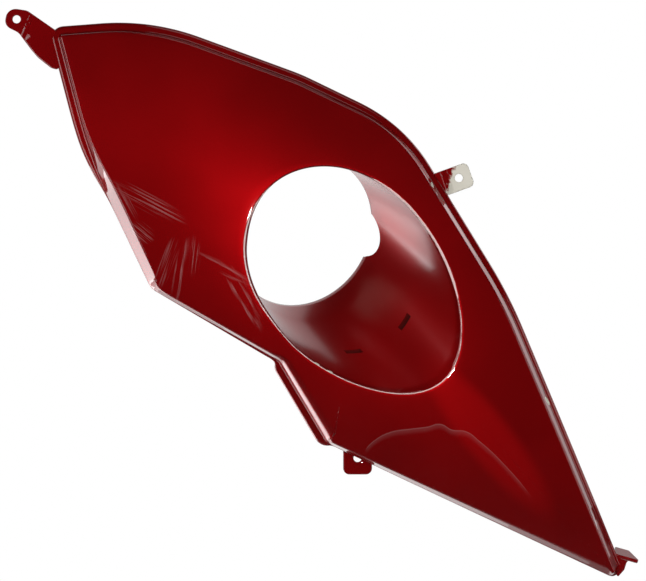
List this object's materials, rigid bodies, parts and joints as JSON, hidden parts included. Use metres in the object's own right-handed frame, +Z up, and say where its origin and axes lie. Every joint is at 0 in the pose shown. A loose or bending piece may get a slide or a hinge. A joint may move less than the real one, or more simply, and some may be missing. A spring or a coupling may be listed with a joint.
{
  "type": "lamp cover",
  "caption": "Crowned, pointed lamp cover panel in painted plastic, with an oblique funnel round its lamp opening, a stepped edge flange and fixing tabs.",
  "frame": {"origin": "centre of the round lamp opening, at the back end of its lip", "axes": "-Y faces out towards the viewer, +Z up and +X to the right along the face"},
  "size_m": [0.4093, 0.0756, 0.3687],
  "materials": {
    "red_paint": "deep red metallic paint under a clear coat"
  },
  "bodies": {
    "root": {"lamp_cover": "red_paint"}
  },
  "joints": []
}
